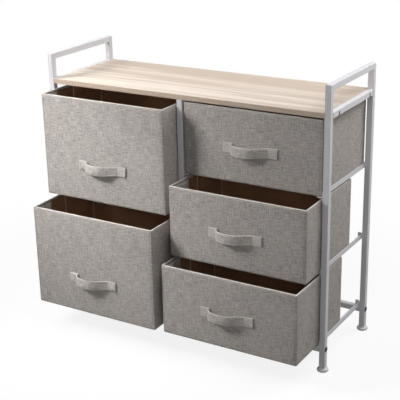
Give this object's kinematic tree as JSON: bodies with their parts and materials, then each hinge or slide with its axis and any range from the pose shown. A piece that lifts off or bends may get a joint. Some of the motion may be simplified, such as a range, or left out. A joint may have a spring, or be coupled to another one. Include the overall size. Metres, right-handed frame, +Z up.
{
  "type": "fabric drawer dresser",
  "caption": "Steel-tube dresser with fold-up fabric drawers on angle runners under a wooden top board, side handle bars and round feet.",
  "frame": {"origin": "on the floor, at the middle of the outline in plan with the drawers drawn out as they rest", "axes": "+X to the right seen from the front, +Y to the rear, +Z up; the drawers open towards -Y"},
  "size_m": [0.814, 0.4214, 0.72],
  "materials": {
    "frame_coat": "satin light grey powder coat",
    "board": "matt pale oak grain",
    "cover_cloth": "warm light grey woven cloth",
    "lining_cloth": "dark brown non-woven cloth",
    "webbing": "warm light grey woven webbing",
    "stiffener": "plain pressed board",
    "base_board": "board wrapped in dark brown cloth",
    "black_fixings": "satin black",
    "bare_steel": "zinc plated",
    "foot_plastic": "smooth light grey"
  },
  "bodies": {
    "frame": {"board_rail_left": "frame_coat", "board_rail_right": "frame_coat", "board_screws": "black_fixings", "crossbar_bolts": "black_fixings", "crossbar_front": "frame_coat", "crossbar_nut_blocks": "bare_steel", "crossbar_rear": "frame_coat", "feet": "foot_plastic", "middle_frame": "frame_coat", "middle_frame_bolts": "black_fixings", "middle_frame_nut_blocks": "bare_steel", "runner_lower_left_inner": "frame_coat", "runner_lower_left_outer": "frame_coat", "runner_lower_right_inner": "frame_coat", "runner_lower_right_outer": "frame_coat", "runner_middle_right_inner": "frame_coat", "runner_middle_right_outer": "frame_coat", "runner_upper_left_inner": "frame_coat", "runner_upper_left_outer": "frame_coat", "runner_upper_right_inner": "frame_coat", "runner_upper_right_outer": "frame_coat", "side_frame_left": "frame_coat", "side_frame_right": "frame_coat", "top_board": "board"},
    "drawer_upper_left": {"drawer_upper_left_base_board": "base_board", "drawer_upper_left_cover": "cover_cloth", "drawer_upper_left_end_stiffeners": "stiffener", "drawer_upper_left_handle_strap": "webbing", "drawer_upper_left_lining": "lining_cloth", "drawer_upper_left_side_stiffeners": "stiffener"},
    "drawer_lower_left": {"drawer_lower_left_base_board": "base_board", "drawer_lower_left_cover": "cover_cloth", "drawer_lower_left_end_stiffeners": "stiffener", "drawer_lower_left_handle_strap": "webbing", "drawer_lower_left_lining": "lining_cloth", "drawer_lower_left_side_stiffeners": "stiffener"},
    "drawer_upper_right": {"drawer_upper_right_base_board": "base_board", "drawer_upper_right_cover": "cover_cloth", "drawer_upper_right_end_stiffeners": "stiffener", "drawer_upper_right_handle_strap": "webbing", "drawer_upper_right_lining": "lining_cloth", "drawer_upper_right_side_stiffeners": "stiffener"},
    "drawer_middle_right": {"drawer_middle_right_base_board": "base_board", "drawer_middle_right_cover": "cover_cloth", "drawer_middle_right_end_stiffeners": "stiffener", "drawer_middle_right_handle_strap": "webbing", "drawer_middle_right_lining": "lining_cloth", "drawer_middle_right_side_stiffeners": "stiffener"},
    "drawer_lower_right": {"drawer_lower_right_base_board": "base_board", "drawer_lower_right_cover": "cover_cloth", "drawer_lower_right_end_stiffeners": "stiffener", "drawer_lower_right_handle_strap": "webbing", "drawer_lower_right_lining": "lining_cloth", "drawer_lower_right_side_stiffeners": "stiffener"}
  },
  "joints": [
    {"name": "slide_upper_left", "type": "slide", "parent": "frame", "child": "drawer_upper_left", "axis": [0, -1, 0], "range_m": [-0.0605, 0.1295]},
    {"name": "slide_lower_left", "type": "slide", "parent": "frame", "child": "drawer_lower_left", "axis": [0, -1, 0], "range_m": [-0.1265, 0.0635]},
    {"name": "slide_upper_right", "type": "slide", "parent": "frame", "child": "drawer_upper_right", "axis": [0, -1, 0], "range_m": [0, 0.19]},
    {"name": "slide_middle_right", "type": "slide", "parent": "frame", "child": "drawer_middle_right", "axis": [0, -1, 0], "range_m": [-0.0775, 0.1125]},
    {"name": "slide_lower_right", "type": "slide", "parent": "frame", "child": "drawer_lower_right", "axis": [0, -1, 0], "range_m": [-0.1215, 0.0685]}
  ]
}
